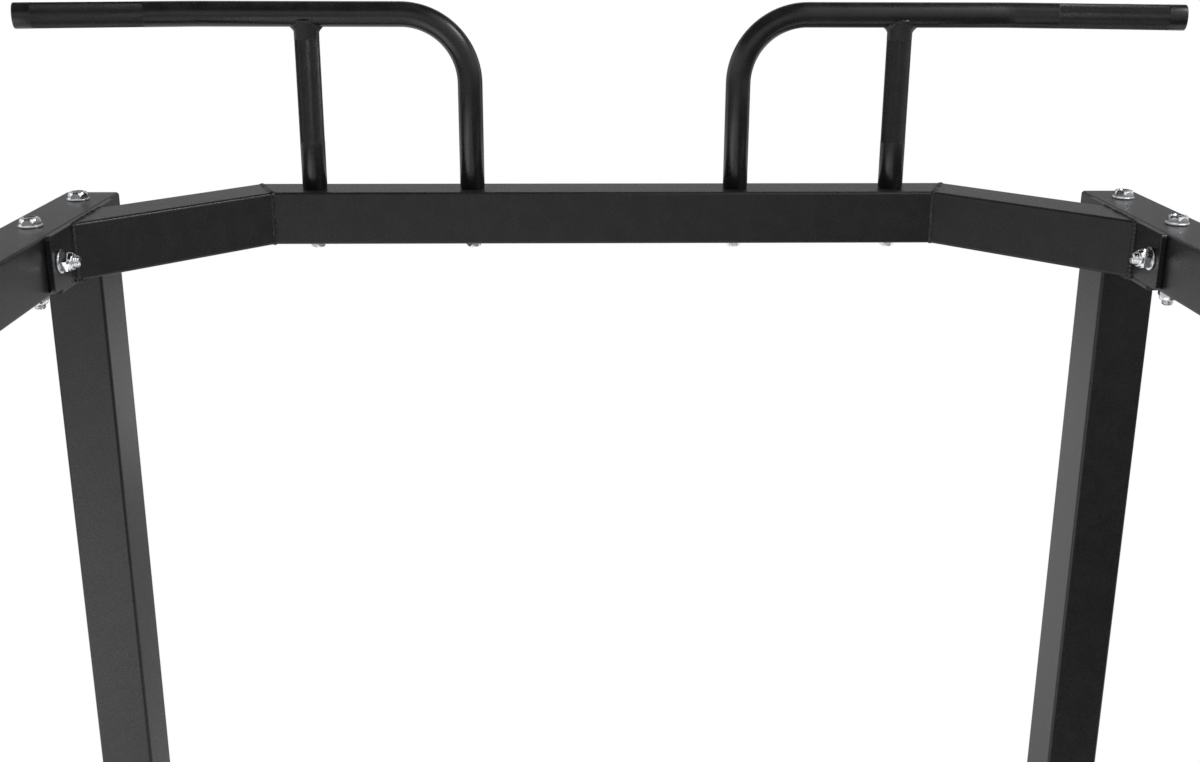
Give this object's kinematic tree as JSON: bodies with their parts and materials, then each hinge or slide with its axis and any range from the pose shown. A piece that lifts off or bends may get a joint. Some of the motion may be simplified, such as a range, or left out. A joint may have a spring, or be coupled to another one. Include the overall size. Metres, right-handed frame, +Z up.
{
  "type": "power rack",
  "caption": "Free-standing steel tube power rack with a bowed pull-up crossmember, two J-shaped overhead grips, sliding safety rods and J-hooks.",
  "frame": {"origin": "on the floor, under the middle of the rack's bounding box", "axes": "+Z up, +X to the right of the rack as seen from its front, +Y to its rear, where the pull-up crossmember and the grips are"},
  "size_m": [1.2854, 1.448, 2.2095],
  "materials": {
    "powder_coat": "satin black powder coat with a fine grain",
    "grip_coat": "satin black coat, knurled where the hands go",
    "hardware": "bright zinc plate",
    "rod_chrome": "polished chrome",
    "liner_nylon": "black nylon",
    "cap_plastic": "fine-grained black plastic",
    "foot_rubber": "matte black rubber"
  },
  "bodies": {
    "rack_frame": {"upright_front_left": "powder_coat", "upright_front_right": "powder_coat", "upright_rear_left": "powder_coat", "upright_rear_right": "powder_coat", "top_side_beam_left": "powder_coat", "top_side_beam_right": "powder_coat", "base_side_rail_left": "powder_coat", "base_side_rail_right": "powder_coat", "pullup_crossmember": "powder_coat", "front_top_crossmember": "powder_coat", "rear_base_crossmember": "powder_coat", "grip_handle_left": "grip_coat", "grip_handle_right": "grip_coat", "grip_screw_inner_left": "hardware", "grip_screw_inner_right": "hardware", "grip_screw_outer_left": "hardware", "grip_screw_outer_right": "hardware", "beam_cap_front_left": "cap_plastic", "beam_cap_front_right": "cap_plastic", "beam_cap_rear_left": "cap_plastic", "beam_cap_rear_right": "cap_plastic", "rail_foot_front_left": "foot_rubber", "rail_foot_front_right": "foot_rubber", "rail_foot_rear_left": "foot_rubber", "rail_foot_rear_right": "foot_rubber", "top_outer_screw_front_left": "hardware", "top_outer_screw_front_right": "hardware", "top_outer_screw_rear_left": "hardware", "top_outer_screw_rear_right": "hardware", "top_inner_bolt_front_left": "hardware", "top_inner_bolt_front_right": "hardware", "top_inner_bolt_rear_left": "hardware", "top_inner_bolt_rear_right": "hardware", "base_outer_screw_front_left": "hardware", "base_outer_screw_front_right": "hardware", "base_outer_screw_rear_left": "hardware", "base_outer_screw_rear_right": "hardware", "base_inner_bolt_front_left": "hardware", "base_inner_bolt_front_right": "hardware", "base_inner_bolt_rear_left": "hardware", "base_inner_bolt_rear_right": "hardware", "pullup_plate_bolt_front_left": "hardware", "pullup_plate_bolt_front_right": "hardware", "pullup_plate_bolt_rear_left": "hardware", "pullup_plate_bolt_rear_right": "hardware", "front_plate_bolt_front_left": "hardware", "front_plate_bolt_front_right": "hardware", "front_plate_bolt_rear_left": "hardware", "front_plate_bolt_rear_right": "hardware", "base_plate_bolt_front_left": "hardware", "base_plate_bolt_front_right": "hardware", "base_plate_bolt_rear_left": "hardware", "base_plate_bolt_rear_right": "hardware"},
    "safety_rod_left": {"safety_rod_left": "rod_chrome"},
    "safety_rod_right": {"safety_rod_right": "rod_chrome"},
    "jhook_left": {"jhook_left": "powder_coat", "jhook_liner_left": "liner_nylon"},
    "jhook_right": {"jhook_right": "powder_coat", "jhook_liner_right": "liner_nylon"}
  },
  "joints": [
    {"name": "safety_rod_left_slide", "type": "slide", "parent": "rack_frame", "child": "safety_rod_left", "axis": [0, -1, 0], "range_m": [0, 1.24]},
    {"name": "safety_rod_right_slide", "type": "slide", "parent": "rack_frame", "child": "safety_rod_right", "axis": [0, -1, 0], "range_m": [0, 1.24]},
    {"name": "jhook_left_slide", "type": "slide", "parent": "rack_frame", "child": "jhook_left", "axis": [0, -1, 0], "range_m": [0, 0.1]},
    {"name": "jhook_right_slide", "type": "slide", "parent": "rack_frame", "child": "jhook_right", "axis": [0, -1, 0], "range_m": [0, 0.1]}
  ]
}
